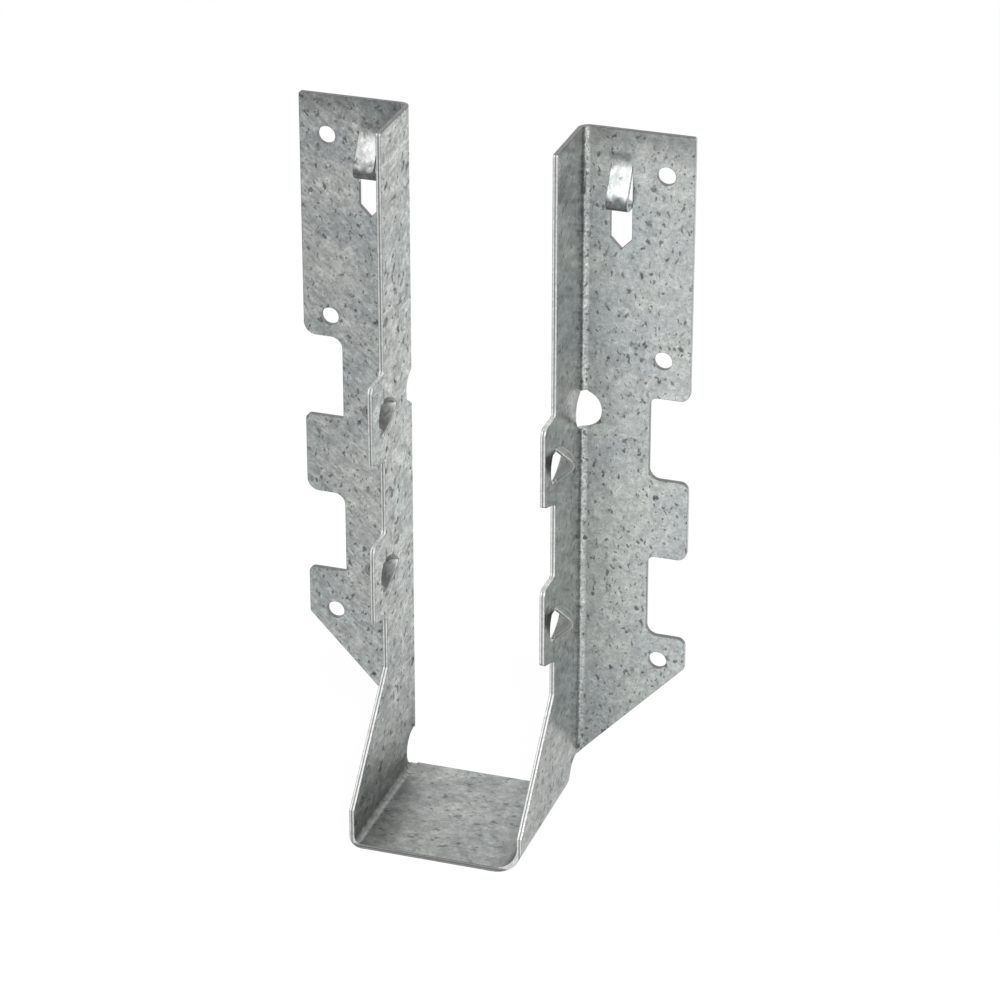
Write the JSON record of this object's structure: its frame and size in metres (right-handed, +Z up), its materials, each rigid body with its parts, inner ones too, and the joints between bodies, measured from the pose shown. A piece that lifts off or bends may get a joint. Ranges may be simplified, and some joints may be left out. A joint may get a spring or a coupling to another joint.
{
  "type": "joist hanger",
  "caption": "Face-mount joist hanger folded from galvanised sheet, with nailing flanges, tabs for angled nails and a bearing seat.",
  "frame": {"origin": "on the header's face, midway between the side plates, level with the top of the seat: where the joist's lower end edge meets the header", "axes": "+X to the right across the joist as seen from the joist's side, +Y into the header, +Z up; the joist lies along -Y"},
  "size_m": [0.093, 0.0471, 0.1683],
  "materials": {
    "galvanised_sheet": "hot-dip galvanised, dull spangle"
  },
  "bodies": {
    "root": {"joist_hanger": "galvanised_sheet"}
  },
  "joints": []
}
